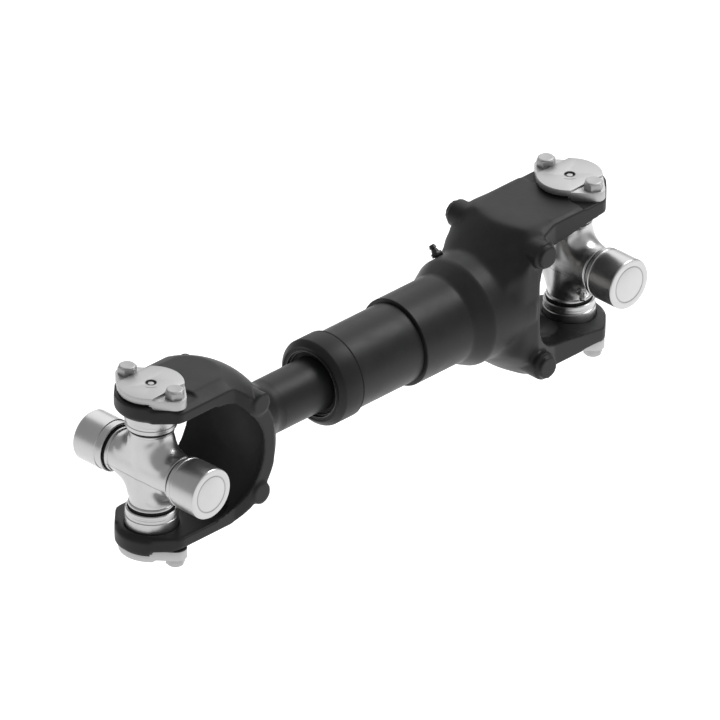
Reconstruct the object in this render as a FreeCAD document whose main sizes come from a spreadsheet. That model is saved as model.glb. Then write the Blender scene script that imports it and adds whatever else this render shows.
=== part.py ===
import FreeCAD, Part
import math
import os
import Sketcher
from FreeCAD import Placement, Rotation, Vector

# A heavy truck driveshaft: a yoke shaft that slides by a spline in a sleeve yoke, with a
# universal joint cross at each end. +X runs along the shaft to the sleeve yoke's joint ("rear"),
# +Z is up, and the origin lies on the shaft axis midway between the two joint centres.
# "u" below is the distance from a joint centre towards the middle of the shaft.

DIMENSIONS = [
    # alias, millimetres, what it is
    ("joint_spacing", 541, "joint centre to joint centre, as shown, half slipped"),
    ("cup_diameter", 49.2, "bearing cup, outside"),
    ("cup_span", 154.8, "cup end to cup end across a cross"),
    ("cup_length", 34.9, "bearing cup, end to open mouth"),
    ("cup_end_wall", 6.5, "bearing cup, thickness of its closed end"),
    ("cup_plain_length", 27, "bearing cup, length ground to the full diameter"),
    ("cup_chamfer", 1.2, "bearing cup, chamfer of the closed end"),
    ("cup_lip_radius", 24.2, "rolled lip near the cup's mouth"),
    ("cup_lip_start", 3.2, "rolled lip, start behind the ground length"),
    ("cup_lip_end", 5.4, "rolled lip, end behind the ground length"),
    ("cup_neck_radius", 23.5, "cup between its ground part and its mouth"),
    ("cup_neck_start", 0.7, "cup neck, start behind the ground length"),
    ("cup_neck_end", 2.6, "cup neck, end behind the ground length"),
    ("cup_scribe_radius", 17.7, "ring scribed on the cup's closed end"),
    ("cup_scribe_depth", 0.35, "ring scribed on the cup's closed end, depth and half width"),
    ("trunnion_diameter", 33.3, "cross trunnion that the rollers run on"),
    ("needle_diameter", 3.18, "roller"),
    ("needle_length", 22, "roller"),
    ("needle_count", 35, "rollers in one cup"),
    ("needle_play", 0.09, "radial play on each side of a roller"),
    ("needle_setback", 0.2, "gap between seal and rollers"),
    ("trunnion_chamfer", 1, "bevel of a trunnion's end"),
    ("thrust_washer_thickness", 2, "washer between trunnion end and cup bottom"),
    ("thrust_play", 0.1, "end play of a trunnion"),
    ("shoulder_radius", 21.7, "cross, shoulder behind each cup"),
    ("shoulder_position", 39.7, "cross, shoulder face from the joint centre"),
    ("shoulder_width", 4.5, "cross, width of the shoulder rim"),
    ("cross_arm_radius", 20.6, "cross, arm between body and shoulder"),
    ("cross_web_half", 13, "cross, half thickness of the web that fills the crotches"),
    ("cross_crotch_radius", 17, "cross, hollow round between two arms"),
    ("seal_gap", 0.3, "free gap between a turning face and the next part"),
    ("overrun", 1, "how far a cutting shape runs past the face it opens"),
    ("seal_depth", 3.8, "cup seal, depth inside the cup"),
    ("seal_outer_radius", 22.2, "cup seal, seat in the cup"),
    ("lug_inner_half", 60, "yoke lug, inner face from the shaft axis"),
    ("front_crown_radius", 82.3, "front yoke, arms' outer face round the shaft axis"),
    ("rear_crown_radius", 86, "rear yoke, arms' outer face round the shaft axis"),
    ("lug_seat_length", 24, "yoke lug, flat under a bolt pad, past the cup's axis at u"),
    ("lug_fit", 0.02, "radial gap between a held cup and its lug"),
    ("lug_nose_radius", 34, "yoke lug, round nose about the cup"),
    ("plate_bolt_setback", 7.4, "plate bolt's axis from the cup's outside"),
    ("plate_boss_radius", 10.6, "yoke lug, round boss about a plate bolt"),
    ("lug_chamfer", 4, "yoke lug, break of the inner nose edge"),
    ("plate_thickness", 8.4, "bearing plate, raised disc"),
    ("plate_pad_drop", 2.2, "bearing plate, step down to a bolt pad"),
    ("plate_pad_depth", 3.1, "bearing plate, how far a bolt pad reaches down below the disc"),
    ("plate_disc_radius", 30.5, "bearing plate, disc"),
    ("plate_corner_radius", 10, "bearing plate, corner round a bolt"),
    ("plate_step_offset", 22.3, "bearing plate, step line from the cup's axis"),
    ("plate_relief", 2, "gap under the disc's rim"),
    ("plate_dimple_radius", 4.8, "bearing plate, central dimple"),
    ("plate_dimple_depth", 2.4, "bearing plate, central dimple"),
    ("bolt_diameter", 9.5, "plate bolt shank"),
    ("bolt_length", 19, "plate bolt, under the head"),
    ("bolt_head_flats", 15.9, "plate bolt head across flats"),
    ("bolt_head_height", 8.4, "plate bolt head"),
    ("bolt_play", 0.05, "radial gap round a plate bolt in the lug"),
    ("front_dome_radius", 84, "front yoke, outer sphere and swing radius"),
    ("front_dome_centre", 44, "front yoke, outer sphere's centre at u"),
    ("front_bowl_radius", 72, "front yoke, inner sphere"),
    ("front_bowl_centre", 43, "front yoke, inner sphere's centre at u"),
    ("front_arm_end", 65, "front yoke, end of an arm's straight side at u"),
    ("front_wide_start", 78, "front yoke, start of its widest part at u"),
    ("front_wide_half", 50, "front yoke, half of its greatest width"),
    ("front_nub_position", 90.5, "front yoke, locating nub at u"),
    ("front_nub_height", 47, "front yoke, locating nub from the shaft axis"),
    ("front_nub_reach", 52.5, "front yoke, locating nub's end face from the middle plane"),
    ("nub_radius", 10.8, "locating nub"),
    ("nub_collar_radius", 13.6, "locating nub's collar"),
    ("nub_collar_drop", 4.5, "step from nub face back to its collar"),
    ("rear_dome_radius", 87.5, "rear yoke, outer sphere and swing radius"),
    ("rear_dome_centre", 64, "rear yoke, outer sphere's centre at u"),
    ("rear_shoulder_radius", 80, "rear yoke, cone behind its arms, large end"),
    ("rear_shoulder_start", 95, "rear yoke, cone behind its arms, large end at u"),
    ("rear_shoulder_end", 131.5, "rear yoke, cone behind its arms, where it meets the hub at u"),
    ("rear_throat_half", 53, "rear yoke, half height of its throat"),
    ("rear_throat_depth", 88.5, "rear yoke, depth of its throat at u"),
    ("rear_throat_corner", 33, "rear yoke, corner radius of its throat"),
    ("rear_taper_length", 55, "rear yoke, length over which an arm thickens from its lug"),
    ("rear_bowl_radius", 60, "rear yoke, dished bottom of the throat"),
    ("rear_bowl_centre", 43, "rear yoke, dished bottom's centre at u"),
    ("rear_arm_end", 62, "rear yoke, end of an arm's straight side at u"),
    ("rear_wide_start", 92, "rear yoke, start of its side band's flat at u"),
    ("rear_wide_end", 112, "rear yoke, end of its side band at u"),
    ("rear_waist_end", 121, "rear yoke, end of the valley behind its side band at u"),
    ("rear_wide_half", 51, "rear yoke, half of its greatest width"),
    ("rear_waist_half", 44, "rear yoke, half width of its back"),
    ("rear_nub_position", 89.6, "rear yoke, locating nub at u"),
    ("rear_nub_height", 58.3, "rear yoke, locating nub from the shaft axis"),
    ("rear_nub_reach", 62.3, "rear yoke, locating nub's end face from the middle plane"),
    ("shaft_diameter", 52.2, "plain shaft of the front yoke"),
    ("shaft_reach", 375, "end of the yoke shaft from the front joint centre"),
    ("neck_length", 22, "cone between front yoke and plain shaft"),
    ("neck_growth", 13, "how far the cone grows over the plain shaft"),
    ("spline_tip_radius", 30.5, "male spline, outside"),
    ("spline_length", 90, "male spline"),
    ("spline_teeth", 16, "teeth of the spline"),
    ("spline_tooth_width", 5.6, "male spline, tooth width"),
    ("spline_play", 0.3, "radial gap of the spline, root and tip"),
    ("spline_side_play", 0.1, "gap on each side of a tooth"),
    ("sleeve_bore_start", 10, "relief bore before the female spline"),
    ("sleeve_bore_relief", 12, "relief bore between the female spline and the plug"),
    ("hub_radius", 52.5, "hub of the sleeve yoke"),
    ("hub_start", 152, "hub's front end at u from the rear joint"),
    ("hub_break", 1.5, "hub, break of its front edge"),
    ("sleeve_large_radius", 43, "sleeve next to the hub"),
    ("sleeve_small_radius", 39.25, "sleeve next to the dust cap"),
    ("sleeve_step", 313, "step of the sleeve from the front joint centre"),
    ("hub_cone_start", 374, "foot of the hub's cone from the front joint centre"),
    ("sleeve_end", 212, "open end of the sleeve from the front joint centre"),
    ("sleeve_thread_length", 19, "reduced end of the sleeve, under the dust cap"),
    ("sleeve_thread_radius", 38, "reduced end of the sleeve"),
    ("cap_radius", 42.4, "dust cap, outside"),
    ("cap_front", 204.5, "dust cap's front face from the front joint centre"),
    ("cap_chamfer", 5, "dust cap, front bevel"),
    ("cap_edge", 0.8, "dust cap, break of its edges"),
    ("cap_mouth_radius", 32.6, "dust cap, mouth"),
    ("cap_face_thickness", 3, "dust cap, front wall"),
    ("seal_ring_thickness", 3, "dust seal"),
    ("washer_thickness", 1.2, "dust cap washer"),
    ("washer_bore_radius", 30.7, "dust cap washer, bore"),
    ("plug_position", 101, "bore plug's outer face at u from the rear joint"),
    ("plug_thickness", 3, "bore plug"),
    ("plug_seat_radius", 33, "counterbore that holds the bore plug"),
    ("zerk_position", 134, "sleeve grease fitting at u from the rear joint"),
    ("zerk_side", 8, "cross's grease fitting from the cross's middle plane"),
    ("zerk_depth", 1.5, "spot face under a cross's grease fitting, depth"),
    ("zerk_hex_flats", 9, "grease fitting, across flats"),
    ("zerk_hex_height", 3.4, "grease fitting, hexagon"),
    ("zerk_neck_height", 4, "grease fitting, neck over the hexagon"),
    ("zerk_head_height", 3.2, "grease fitting, head over the neck"),
    ("zerk_thread_radius", 3, "grease fitting, screwed shank"),
    ("zerk_thread_length", 5, "grease fitting, screwed shank"),
]

SHEET = "Dimensions"
doc = FreeCAD.newDocument("universal_joint_shaft")
sheet = doc.addObject("Spreadsheet::Sheet", SHEET)
for row, (alias, millimetres, meaning) in enumerate(DIMENSIONS, start=1):
    sheet.set(f"A{row}", meaning)
    sheet.set(f"B{row}", str(millimetres))
    sheet.setAlias(f"B{row}", alias)
doc.recompute()

ALIASES = {alias for alias, millimetres, meaning in DIMENSIONS}
NODES = []


def bound(formula):
    """The formula with each alias written as a cell of the sheet."""
    words = []
    word = ""
    for letter in formula + " ":
        if letter.isalnum() or letter == "_":
            word += letter
            continue
        words.append(f"{SHEET}.{word}" if word in ALIASES else word)
        words.append(letter)
        word = ""
    return "".join(words).strip()


def value(formula):
    """The formula's value now, in millimetres."""
    return float(sheet.evalExpression(formula))


def drive(thing, **formulas):
    """Binds properties of a document object to the sheet. Double underscores stand for dots."""
    for name, formula in formulas.items():
        thing.setExpression(name.replace("__", "."), bound(formula))
    return thing


def put(thing, x="0", y="0", z="0", rotation=None):
    """Places an object: the offsets follow the sheet, the rotation is fixed."""
    if rotation is not None:
        thing.Placement = Placement(Vector(0, 0, 0), rotation)
    drive(thing, Placement__Base__x=x, Placement__Base__y=y, Placement__Base__z=z)
    return thing


def subpart(label, thing):
    """Names a finished sub-part. Its label becomes the name of its file."""
    thing.Label = label
    NODES.append(thing)
    return thing


# ---- small makers -------------------------------------------------------------------------

def box(length, width, height, x, y, z):
    """A block from its corner, every size a formula."""
    block = drive(doc.addObject("Part::Box", "Block"), Length=length, Width=width, Height=height)
    return put(block, x, y, z)


def cylinder(radius, height, x="0", y="0", z="0", rotation=None):
    """A cylinder from its base, along its own z."""
    rod = drive(doc.addObject("Part::Cylinder", "Rod"), Radius=radius, Height=height)
    return put(rod, x, y, z, rotation)


def cone(radius1, radius2, height, x="0", y="0", z="0", rotation=None):
    """A cone from its base, along its own z: radius at the base, then at the top."""
    taper = drive(doc.addObject("Part::Cone", "Taper"), Radius1=radius1, Radius2=radius2, Height=height)
    return put(taper, x, y, z, rotation)


def sphere(radius, x="0"):
    """A ball centred on the x axis, with its poles on that axis."""
    ball = drive(doc.addObject("Part::Sphere", "Ball"), Radius=radius)
    return put(ball, x, rotation=ALONG_X)


def fuse(*things):
    """One solid of all the things."""
    joined = doc.addObject("Part::MultiFuse", "Joined")
    joined.Shapes = list(things)
    joined.Refine = True
    return joined


def common(*things):
    """What all the things share."""
    shared = doc.addObject("Part::MultiCommon", "Shared")
    shared.Shapes = list(things)
    return shared


def cut(base, *tools):
    """The base less every tool."""
    rest = doc.addObject("Part::Cut", "Rest")
    rest.Base = base
    rest.Tool = tools[0] if len(tools) == 1 else fuse(*tools)
    rest.Refine = True
    return rest


def draw(sketch, corners):
    """Closes a sketch through its corners, each a pair of formulas, and ties every corner to the sheet."""
    spots = [Vector(value(across), value(up), 0) for across, up in corners]
    count = len(corners)
    for index in range(count):
        sketch.addGeometry(Part.LineSegment(spots[index], spots[(index + 1) % count]), False)
    for index in range(count):
        sketch.addConstraint(Sketcher.Constraint("Coincident", index, 2, (index + 1) % count, 1))
    for index, (across, up) in enumerate(corners):
        for kind, formula, distance in (("DistanceX", across, spots[index].x), ("DistanceY", up, spots[index].y)):
            number = sketch.addConstraint(Sketcher.Constraint(kind, index, 1, distance))
            sketch.setExpression(f"Constraints[{number}]", bound(formula))
    return sketch


def prism(corners, depth, rotation=None):
    """An outline drawn in XY (or turned by the rotation), thickened evenly to both sides."""
    outline = draw(doc.addObject("Sketcher::SketchObject", "Outline"), corners)
    if rotation is not None:
        outline.Placement = Placement(Vector(0, 0, 0), rotation)
    slab = doc.addObject("Part::Extrusion", "Slab")
    slab.Base = outline
    slab.DirMode = "Normal"
    slab.Solid = True
    slab.Symmetric = True
    return drive(slab, LengthFwd=depth)


def turned(corners):
    """A body of revolution about its own z. Each corner is a radius and a height."""
    body = doc.addObject("PartDesign::Body", "Turned")
    sketch = body.newObject("Sketcher::SketchObject", "Section")
    plane = [item for item in body.Origin.OriginFeatures if item.Role == "XZ_Plane"][0]
    sketch.AttachmentSupport = [(plane, "")]
    sketch.MapMode = "FlatFace"
    draw(sketch, corners)
    revolution = body.newObject("PartDesign::Revolution", "Revolution")
    revolution.Profile = sketch
    revolution.ReferenceAxis = (sketch, ["V_Axis"])
    revolution.Angle = 360
    body.Tip = revolution
    return body


# ---- the frame's places ---------------------------------------------------------------------

FRONT = "(0 - joint_spacing / 2)"
REAR = "(joint_spacing / 2)"
ALONG_X = Rotation(Vector(0, 1, 0), 90)
ALONG_Y = Rotation(Vector(1, 0, 0), -90)
SIDE_VIEW = Rotation(Vector(1, 0, 0), 90)
ARMS = {
    "top": Rotation(),
    "bottom": Rotation(Vector(1, 0, 0), 180),
    "near": Rotation(Vector(1, 0, 0), 90),
    "far": Rotation(Vector(1, 0, 0), -90),
}
# each end: its joint centre, the sense of u along x, and the side of its cross that takes the grease fitting
ENDS = {"front": (FRONT, 1, ""), "rear": (REAR, -1, "0 - ")}


# ---- bearing kit ------------------------------------------------------------------------------

def needle_pitch():
    """The circle that the rollers' axes lie on, radius."""
    return "(trunnion_diameter / 2 + needle_play + needle_diameter / 2)"


def cup_bore():
    """The cup's bore, radius: trunnion, rollers and their play."""
    return "(trunnion_diameter / 2 + 2 * needle_play + needle_diameter)"


def cup_mouth():
    """The cup's open mouth from the joint centre."""
    return "(cup_span / 2 - cup_length)"


def cup_floor():
    """The bottom of the cup's bore from the joint centre."""
    return "(cup_span / 2 - cup_end_wall)"


def bearing_cup(label, centre, rotation):
    """A drawn steel cup: ground outside, a neck and a rolled lip at its mouth, a scribed ring on its end."""
    plain = "(cup_span / 2 - cup_plain_length)"
    cup = turned([
        ("0", "cup_span / 2"),
        ("cup_scribe_radius - cup_scribe_depth", "cup_span / 2"),
        ("cup_scribe_radius", "cup_span / 2 - cup_scribe_depth"),
        ("cup_scribe_radius + cup_scribe_depth", "cup_span / 2"),
        ("cup_diameter / 2 - cup_chamfer", "cup_span / 2"),
        ("cup_diameter / 2", "cup_span / 2 - cup_chamfer"),
        ("cup_diameter / 2", plain),
        ("cup_neck_radius", plain + " - cup_neck_start"),
        ("cup_neck_radius", plain + " - cup_neck_end"),
        ("cup_lip_radius", plain + " - cup_lip_start"),
        ("cup_lip_radius", plain + " - cup_lip_end"),
        ("(seal_outer_radius + cup_neck_radius) / 2", cup_mouth()),
        ("seal_outer_radius", cup_mouth()),
        ("seal_outer_radius", cup_mouth() + " + seal_depth"),
        (cup_bore(), cup_mouth() + " + seal_depth"),
        (cup_bore(), cup_floor()),
        ("0", cup_floor()),
    ])
    return subpart(label, put(cup, centre, rotation=rotation))


def cup_seal(label, centre, rotation):
    """A rubber lip seal in the cup's mouth, just clear of the cross's shoulder and trunnion."""
    face = "(shoulder_position + seal_gap)"
    lip = "(trunnion_diameter / 2 + seal_gap)"
    ring = turned([
        (lip, face),
        ("shoulder_radius - seal_gap", face),
        ("shoulder_radius - seal_gap", cup_mouth()),
        ("seal_outer_radius", cup_mouth()),
        ("seal_outer_radius", cup_mouth() + " + seal_depth"),
        (lip, cup_mouth() + " + seal_depth"),
    ])
    return subpart(label, put(ring, centre, rotation=rotation))


def thrust_washer(label, centre, rotation):
    """A plastic washer between the trunnion's end and the cup's closed end."""
    washer = turned([
        ("needle_diameter", cup_floor() + " - thrust_washer_thickness"),
        (cup_bore() + " - 2 * seal_gap", cup_floor() + " - thrust_washer_thickness"),
        (cup_bore() + " - 2 * seal_gap", cup_floor()),
        ("needle_diameter", cup_floor()),
    ])
    return subpart(label, put(washer, centre, rotation=rotation))


def needle_rollers(label, centre, rotation):
    """A full set of loose rollers, separate solids that share one node."""
    count = int(round(value("needle_count")))
    start = value(cup_mouth() + " + seal_depth + needle_setback")
    roller = Part.makeCylinder(
        value("needle_diameter / 2"), value("needle_length"), Vector(value(needle_pitch()), 0, start))
    rollers = []
    for index in range(count):
        turn = Rotation(Vector(0, 0, 1), 360.0 * index / count)
        rollers.append(roller.transformed(Placement(Vector(), turn).Matrix, True))
    ring = doc.addObject("Part::Feature", "Rollers")
    ring.Shape = Part.makeCompound(rollers)
    return subpart(label, put(ring, centre, rotation=rotation))


def trunnion():
    """One arm of a cross along z: arm, shoulder rim and ground trunnion with a bevelled end."""
    end = "(" + cup_floor() + " - thrust_washer_thickness - thrust_play)"
    return turned([
        ("0", "0"),
        ("cross_arm_radius", "0"),
        ("cross_arm_radius", "shoulder_position - shoulder_width"),
        ("shoulder_radius", "shoulder_position - shoulder_width + shoulder_radius - cross_arm_radius"),
        ("shoulder_radius", "shoulder_position"),
        ("trunnion_diameter / 2", "shoulder_position"),
        ("trunnion_diameter / 2", end + " - trunnion_chamfer"),
        ("trunnion_diameter / 2 - trunnion_chamfer", end),
        ("0", end),
    ])


def crotch_place(inward, side):
    """Where a cross's grease fitting stands: low in a crotch, set towards the shaft. Local x, y, z and its turn."""
    depth = "(cross_arm_radius + cross_crotch_radius * (1 - sqrt(0.5)) - zerk_depth)"
    lean = Rotation(Vector(0, 0, 1), Vector(inward * 0.5, -0.6 if side else 0.6, -0.62))
    return f"{inward} * zerk_side", side + depth, "0 - " + depth, lean


def joint_cross(label, centre, inward, side):
    """Four trunnions on a body whose crotches are filled by a web with hollow rounds."""
    arms = [put(trunnion(), rotation=turn) for turn in ARMS.values()]
    reach = "(cross_arm_radius + cross_crotch_radius)"
    web = box("2 * cross_web_half", "2 * " + reach, "2 * " + reach,
              "0 - cross_web_half", "0 - " + reach, "0 - " + reach)
    hollows = []
    for across in ("", "0 - "):
        for height in ("", "0 - "):
            hollows.append(cylinder("cross_crotch_radius", "2 * (cross_web_half + overrun)",
                                    "0 - cross_web_half - overrun",
                                    across + reach, height + reach, ALONG_X))
    body = cut(fuse(cut(web, *hollows), *arms), fitting_seat(*crotch_place(inward, side)))
    return subpart(label, put(body, centre))


def fitting_seat(x, y, z, rotation):
    """The tapped hole and spot face for a grease fitting."""
    hole = cylinder("zerk_thread_radius", "zerk_thread_length + overrun", z="0 - zerk_thread_length - overrun")
    spot = cylinder("zerk_hex_flats / sqrt(3) + seal_gap", "zerk_hex_height + zerk_neck_height + zerk_head_height")
    return put(fuse(hole, spot), x, y, z, rotation)


def grease_fitting(label, x, y, z, rotation):
    """A straight grease nipple: screwed shank, hexagon, neck and round head, along its own z."""
    shank = cylinder("zerk_thread_radius", "zerk_thread_length", z="0 - zerk_thread_length")
    hexagon = doc.addObject("Part::Prism", "Hexagon")
    hexagon.Polygon = 6
    drive(hexagon, Circumradius="zerk_hex_flats / sqrt(3)", Height="zerk_hex_height")
    neck = cone("zerk_hex_flats * 0.4", "zerk_hex_flats * 0.25", "zerk_neck_height", z="zerk_hex_height")
    head = cone("zerk_hex_flats * 0.38", "zerk_hex_flats * 0.25", "zerk_head_height",
                z="zerk_hex_height + zerk_neck_height")
    return subpart(label, put(fuse(shank, hexagon, neck, head), x, y, z, rotation))


# ---- plates and bolts ---------------------------------------------------------------------------

def bolt_offset():
    """A plate bolt's axis from the cup's axis."""
    return "(cup_diameter / 2 + plate_bolt_setback)"


def hull_plan(nose, boss):
    """The corners that join a round of radius nose to the two smaller ones about the bolts."""
    offset = bolt_offset()
    sine = f"(({nose} - {boss}) / {offset})"
    cosine = f"sqrt(1 - {sine} * {sine})"
    corners = []
    for end, side in (("0 - ", ""), ("0 - ", "0 - "), ("", "0 - "), ("", "")):
        near_nose = (f"{end}{nose} * {cosine}", f"{side}{nose} * {sine}")
        near_boss = (f"{end}{boss} * {cosine}", f"{side}({offset} + {boss} * {sine})")
        pair = (near_boss, near_nose) if (end == "0 - ") == (side == "") else (near_nose, near_boss)
        corners.extend(pair)
    return corners


def bearing_plate(label, centre, rotation):
    """The plate over a held cup: a raised disc, two lower bolt pads, a central dimple."""
    face = "(cup_span / 2)"
    blank = [prism(hull_plan("plate_disc_radius", "plate_corner_radius"),
                   "2 * (" + face + " + plate_thickness)")]
    blank.append(cylinder("plate_disc_radius", face + " + plate_thickness"))
    for side in ("", "0 - "):
        blank.append(cylinder("plate_corner_radius", face + " + plate_thickness", y=side + bolt_offset()))
    wide = "(" + bolt_offset() + " + plate_corner_radius + overrun)"
    solid = cut(fuse(*blank), box("4 * " + wide, "4 * " + wide, "2 * " + face + " + plate_thickness",
                                  "0 - 2 * " + wide, "0 - 2 * " + wide,
                                  "0 - " + face + " - plate_thickness - plate_pad_depth"))
    pad_foot = face + " - plate_pad_depth - overrun"
    tools = [box("4 * " + wide, "2 * plate_step_offset", "plate_pad_depth + overrun", "0 - 2 * " + wide,
                 "0 - plate_step_offset", pad_foot),
             cylinder("cup_diameter / 2 + seal_gap", "plate_pad_depth + overrun", z=pad_foot)]
    for side in ("plate_step_offset", "0 - plate_step_offset - " + wide):
        tools.append(box("2 * " + wide, wide, "plate_pad_drop + overrun", "0 - " + wide, side,
                         face + " + plate_thickness - plate_pad_drop"))
    relief = cut(cylinder("plate_disc_radius + overrun", "plate_relief + overrun", z=face + " - overrun"),
                 cylinder("cup_diameter / 2 + 2 * seal_gap", "plate_relief + 3 * overrun",
                          z=face + " - 2 * overrun"))
    tools.append(common(relief, box("2 * " + wide, "2 * (plate_step_offset - plate_relief)", "2 * " + wide,
                                    "0 - " + wide, "plate_relief - plate_step_offset", face + " - " + wide)))
    tools.append(cylinder("plate_dimple_radius", "plate_dimple_depth + overrun",
                          z=face + " + plate_thickness - plate_dimple_depth"))
    for side in ("", "0 - "):
        tools.append(cylinder("bolt_diameter / 2 + seal_gap", "2 * plate_thickness + plate_pad_depth",
                              y=side + bolt_offset(), z=face + " - plate_thickness"))
    stud = cylinder("plate_dimple_radius * 0.6", "plate_dimple_depth * 0.7",
                    z=face + " + plate_thickness - plate_dimple_depth")
    return subpart(label, put(fuse(cut(solid, *tools), stud), centre, rotation=rotation))


def plate_bolt(side):
    """A hex cap screw along z through the plate's pad into the lug."""
    seat = "(cup_span / 2 + plate_thickness - plate_pad_drop)"
    hexagon = doc.addObject("Part::Prism", "BoltHexagon")
    hexagon.Polygon = 6
    drive(hexagon, Circumradius="bolt_head_flats / sqrt(3)", Height="bolt_head_height")
    put(hexagon, y=side + bolt_offset(), z=seat)
    crown = cone("bolt_head_flats * 0.5 + bolt_head_height", "bolt_head_flats * 0.48",
                 "bolt_head_height", y=side + bolt_offset(), z=seat)
    head = common(hexagon, crown)
    shank = cylinder("bolt_diameter / 2", "bolt_length", y=side + bolt_offset(), z=seat + " - bolt_length")
    return fuse(head, shank)


def plate_bolts(label, centre, rotation):
    """The two bolts of one plate."""
    pair = doc.addObject("Part::Compound", "BoltPair")
    pair.Links = [plate_bolt(""), plate_bolt("0 - ")]
    return subpart(label, put(pair, centre, rotation=rotation))


# ---- yokes, drawn about their own joint centre with u along +x ------------------------------------

def arm_half():
    """Half the width of a yoke's arms."""
    return "(" + bolt_offset() + " + plate_boss_radius)"


def lug_plan():
    """Both lugs as one column: nose round, bolt bosses and the flats that join them."""
    column = "(2 * cup_span)"
    pieces = [prism(hull_plan("lug_nose_radius", "plate_boss_radius"), column)]
    pieces.append(cylinder("lug_nose_radius", column, z="0 - cup_span"))
    for side in ("", "0 - "):
        pieces.append(cylinder("plate_boss_radius", column, y=side + bolt_offset(), z="0 - cup_span"))
    return pieces


def nubs(radius, position, height, reach):
    """Four round nubs, two across the yoke at the top and two at the bottom."""
    rods = []
    for side in ("", "0 - "):
        rods.append(cylinder(radius, "2 * " + reach, position, "0 - " + reach, side + height, ALONG_Y))
    return rods


def swing_stock(radius, centre):
    """A rod with a ball end: all of a yoke lies inside it as the shaft turns."""
    back = "(2 * lug_nose_radius)"
    rod = cylinder(radius, centre + " + " + back, "0 - " + back, rotation=ALONG_X)
    return fuse(rod, sphere(radius, centre))


def lug_slices(crown_radius):
    """What the two lug faces leave of the stock: a bar crowned round the shaft axis, flat on top and bottom."""
    size = "(4 * cup_span)"
    slab = box(size, size, "cup_span", "0 - " + size + " / 2", "0 - " + size + " / 2", "0 - cup_span / 2")
    return common(slab, cylinder(crown_radius, size, "0 - " + size + " / 2", rotation=ALONG_X))


def pad_seats():
    """The flats of both lugs that the plates' bolt pads stand on."""
    seats = []
    start = "(cup_span / 2 - plate_pad_depth)"
    for side in ("plate_step_offset", "0 - plate_step_offset - lug_nose_radius"):
        for height in (start, "0 - 2 * plate_pad_depth - " + start):
            seats.append(box("2 * lug_nose_radius + lug_seat_length", "lug_nose_radius", "2 * plate_pad_depth",
                             "0 - 2 * lug_nose_radius", side, height))
    return seats


def lug_holes():
    """The bore for both held cups and the four tapped holes."""
    holes = [cylinder("cup_diameter / 2 + lug_fit", "2 * cup_span", z="0 - cup_span")]
    seat = "(cup_span / 2 + plate_thickness - plate_pad_drop)"
    depth = "(" + seat + " - bolt_length - overrun)"
    for side in ("", "0 - "):
        for foot in (depth, "0 - 2 * bolt_length - " + depth):
            holes.append(cylinder("bolt_diameter / 2 + bolt_play", "2 * bolt_length",
                                  y=side + bolt_offset(), z=foot))
    return holes


def nose_breaks():
    """Cones that bevel the inner edge of each lug's nose."""
    start = "(lug_inner_half - overrun)"
    ring = "(lug_chamfer + overrun)"
    tools = []
    for rotation in (Rotation(), Rotation(Vector(1, 0, 0), 180)):
        outside = box("3 * lug_nose_radius", "3 * lug_nose_radius", ring, "0 - 3 * lug_nose_radius",
                      "0 - 1.5 * lug_nose_radius", start)
        inside = cone("lug_nose_radius - " + ring, "lug_nose_radius", ring, z=start)
        keep = box("3 * lug_nose_radius", "3 * lug_nose_radius", ring, "0 - lug_nose_radius * 0.69",
                   "0 - 1.5 * lug_nose_radius", start)
        tools.append(put(cut(outside, inside, keep), rotation=rotation))
    return tools


def spline_teeth(root, tip, width, length, start):
    """Straight-sided teeth round the x axis between two radii."""
    count = int(round(value("spline_teeth")))
    bars = []
    for index in range(count):
        bar = box(length, width, tip, start, "0 - " + width + " / 2", "0")
        turn = 360.0 * index / count
        bar.Placement = Placement(bar.Placement.Base, Rotation(Vector(1, 0, 0), turn))
        sine = repr(round(math.sin(math.radians(turn)), 12))
        cosine = repr(round(math.cos(math.radians(turn)), 12))
        drive(bar, Placement__Base__y=f"0 - {width} / 2 * ({cosine})",
              Placement__Base__z=f"0 - {width} / 2 * ({sine})")
        bars.append(bar)
    ring = cut(cylinder(tip, length, start, rotation=ALONG_X),
               cylinder(root, length + " + 2 * overrun", start + " - overrun", rotation=ALONG_X))
    return common(ring, fuse(*bars))


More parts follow.
